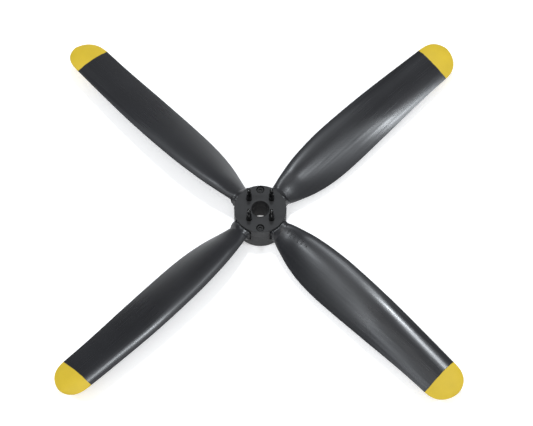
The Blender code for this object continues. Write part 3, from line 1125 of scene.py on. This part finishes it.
class PROPELLER_OT_screws(bpy.types.Operator):
    """Make the two socket-head clamp screws, with a knurled head and a grooved thread"""

    bl_idname = "propeller.screws"
    bl_label = "Clamp screws"

    def execute(self, context):
        material = oxide_material("screw black oxide", colours().screw, 0.52, 0.62)
        end, top = SCREW_BOX[0].z, SCREW_BOX[1].z
        head = (SCREW_BOX[1].x - SCREW_BOX[0].x) / 2
        seat = top - sizes().head_height
        socket = sizes().socket_flats
        socket_floor = top - sizes().socket_depth
        shank = sizes().screw_shank / 2
        head_fillet, socket_bevel, socket_rim = 0.00016, 0.00006, 0.00018
        knurl_drop, under_bevel = 0.0003, 0.00012
        plain, first_crest, lead, end_bevel = 0.0006, 0.0008, 0.0002, 0.0003
        crest = shank - 0.00001
        root = shank - sizes().thread_depth
        inside = [(0, socket_floor), (socket, socket_floor), (socket, top - socket_bevel)]
        head_corners = ((0, top, 0), (head, top, head_fillet), (head, seat, 0))
        outside = [(socket / 2 + socket_rim, top)] + rounded_outline(head_corners, False)[1:-1]
        side = [(head, top - knurl_drop), (head, seat + under_bevel)]
        under = [(head - under_bevel, seat), (shank, seat), (shank, seat - plain)]
        thread = threaded(crest, root, seat - first_crest, end + lead, sizes().thread_pitch)
        tail = [(shank - end_bevel, end), (0, end)]
        points = inside + outside + side + under + thread + tail
        flats = [socket if point in inside else 0.0 for point in points]
        knurl = [1.0 if point in side else 0.0 for point in points]
        for i, angle in enumerate(SCREW_ANGLES):
            node = f"clamp_screw_{i + 1}"
            name = node + "_finished"
            screw = turned_object(
                name, points, material, SCREW_SEGMENTS, SCREW_CIRCLE, angle, flats, knurl
            )
            handed_over(screw, "screw_steel", node)
        return {"FINISHED"}


class PROPELLER_OT_nuts(bpy.types.Operator):
    """Make the two captive nuts, chamfered and threaded"""

    bl_idname = "propeller.nuts"
    bl_label = "Clamp nuts"

    def execute(self, context):
        material = zinc_material()
        low, high = NUT_BOX[0].z, NUT_BOX[1].z
        flat = sizes().nut_flats / 2
        corner = flat / math.cos(math.pi / 6)
        chamfer = (corner - flat) * math.tan(math.radians(30))
        hole = sizes().screw_shank / 2 + CLEARANCE
        crest_height = 0.00007
        mouth = 0.0001
        outside = [(flat - mouth, high), (corner, high - chamfer), (corner, low + chamfer)]
        outside += [(flat - mouth, low), (hole + mouth, low)]
        thread = threaded(
            hole - crest_height, hole, high - mouth, low + mouth, sizes().thread_pitch
        )
        points = [(hole + mouth, high)] + outside + thread[::-1] + [(hole + mouth, high)]
        flats = [sizes().nut_flats if point in outside[1:3] else 0.0 for point in points]
        for i, angle in enumerate(SCREW_ANGLES):
            node = f"clamp_nut_{i + 1}"
            name = node + "_finished"
            segments = sizes().turned_segments
            nut = turned_object(name, points, material, segments, SCREW_CIRCLE, angle, flats)
            handed_over(nut, "nut_steel", node)
        return {"FINISHED"}


# Stage -----------------------------------------------------------------------------------------


CAMERA_ELEVATION = math.radians(62.86)
CAMERA_DISTANCE = 1.157
CAMERA_LENS = 168.25
CAMERA_SIDE = -0.00288
CAMERA_UP = 0.00204

FLOOR_HALF_WIDTH = 4.0
FLOOR_CELLS = 12
FLOOR_DROP = 0.0001

# The room's brightness on its left and right.
ROOM_LEFT, ROOM_RIGHT = 0.22, 0.60

# Soft boxes: name, (azimuth from +X, elevation, distance), sizes, watts, tint.
COOL = (0.90, 0.95, 1.0)
WHITE = (1.0, 1.0, 1.0)
LIGHTS = (
    ("high back light", (88.0, 74.0, 1.6), (0.14, 0.14), 9.0, COOL),
    ("right light", (-12.0, 45.0, 1.2), (0.14, 0.14), 3.0, COOL),
    ("left light", (-168.0, 54.0, 1.2), (0.12, 0.12), 3.2, COOL),
    ("front fill", (-100.0, 64.0, 1.6), (1.1, 1.1), 8.0, WHITE),
)


def add_camera():
    data = bpy.data.cameras.new("camera")
    data.lens = CAMERA_LENS
    data.sensor_width = 36.0
    data.clip_start = 0.05
    data.clip_end = 20.0
    camera = linked("camera", data)
    forward = Vector((0, math.cos(CAMERA_ELEVATION), -math.sin(CAMERA_ELEVATION)))
    up = Vector((0, math.sin(CAMERA_ELEVATION), math.cos(CAMERA_ELEVATION)))
    target = Vector((-CAMERA_SIDE, 0, HUB_TOP)) - up * CAMERA_UP
    camera.location = target - forward * CAMERA_DISTANCE
    camera.rotation_euler = (math.pi / 2 - CAMERA_ELEVATION, 0, 0)
    bpy.context.scene.camera = camera


def add_area_light(name, place, size, watts, tint):
    """A soft box aimed at the hub."""
    azimuth, elevation, distance = math.radians(place[0]), math.radians(place[1]), place[2]
    data = bpy.data.lights.new(name, "AREA")
    data.shape = "RECTANGLE"
    data.size, data.size_y = size
    data.energy = watts
    data.color = tint
    level = math.cos(elevation)
    outwards = Vector(
        (level * math.cos(azimuth), level * math.sin(azimuth), math.sin(elevation))
    )
    light = linked(name, data)
    light.location = outwards * distance
    light.rotation_euler = outwards.to_track_quat("Z", "Y").to_euler()


def add_floor():
    shape = bmesh.new()
    bmesh.ops.create_grid(
        shape, x_segments=FLOOR_CELLS, y_segments=FLOOR_CELLS, size=FLOOR_HALF_WIDTH
    )
    floor = shape_object("floor", shape, Matrix.Translation((0, 0, -FLOOR_DROP)))
    floor.data.materials.append(floor_material())


def add_world():
    """An even room, a little brighter on the right."""
    world = bpy.data.worlds.new("studio")
    world.use_nodes = True
    wiring = Wiring(world.node_tree)
    direction = wiring.node("ShaderNodeTexCoord").outputs["Generated"]
    across = wiring.node("ShaderNodeSeparateXYZ", {"Vector": direction}).outputs["X"]
    background = world.node_tree.nodes["Background"]
    background.inputs["Color"].default_value = (0.97, 0.98, 1.0, 1.0)
    brightness = wiring.ramp(across, -1.0, 1.0, ROOM_LEFT, ROOM_RIGHT)
    wiring.feed(background.inputs["Strength"], brightness)
    bpy.context.scene.world = world


class PROPELLER_OT_stage(bpy.types.Operator):
    """Make the floor, the soft studio light and the camera"""

    bl_idname = "propeller.stage"
    bl_label = "Stage"

    def execute(self, context):
        context.scene.view_settings.view_transform = "Standard"
        add_floor()
        add_world()
        add_camera()
        for name, place, size, watts, tint in LIGHTS:
            add_area_light(name, place, size, watts, tint)
        return {"FINISHED"}


# Panel and registration ------------------------------------------------------------------------


class PROPELLER_PT_panel(bpy.types.Panel):
    """Lists the sizes, the colours and the operators"""

    bl_label = "Propeller"
    bl_idname = "PROPELLER_PT_panel"
    bl_space_type = "VIEW_3D"
    bl_region_type = "UI"
    bl_category = "Propeller"

    def draw(self, context):
        for operator in OPERATORS:
            self.layout.operator(operator.bl_idname)
        for group in (context.scene.propeller_sizes, context.scene.propeller_colours):
            column = self.layout.column()
            for name in group.__annotations__:
                column.prop(group, name)


OPERATORS = (
    PROPELLER_OT_blades,
    PROPELLER_OT_hub,
    PROPELLER_OT_pins,
    PROPELLER_OT_screws,
    PROPELLER_OT_nuts,
    PROPELLER_OT_stage,
)
CLASSES = (PropellerSizes, PropellerColours, *OPERATORS, PROPELLER_PT_panel)


def register():
    for cls in CLASSES:
        bpy.utils.register_class(cls)
    bpy.types.Scene.propeller_sizes = PointerProperty(type=PropellerSizes)
    bpy.types.Scene.propeller_colours = PointerProperty(type=PropellerColours)


def unregister():
    del bpy.types.Scene.propeller_colours
    del bpy.types.Scene.propeller_sizes
    for cls in reversed(CLASSES):
        bpy.utils.unregister_class(cls)


def main():
    register()
    bpy.ops.propeller.blades()
    bpy.ops.propeller.hub()
    bpy.ops.propeller.pins()
    bpy.ops.propeller.screws()
    bpy.ops.propeller.nuts()
    bpy.ops.propeller.stage()


if __name__ == "__main__":
    main()
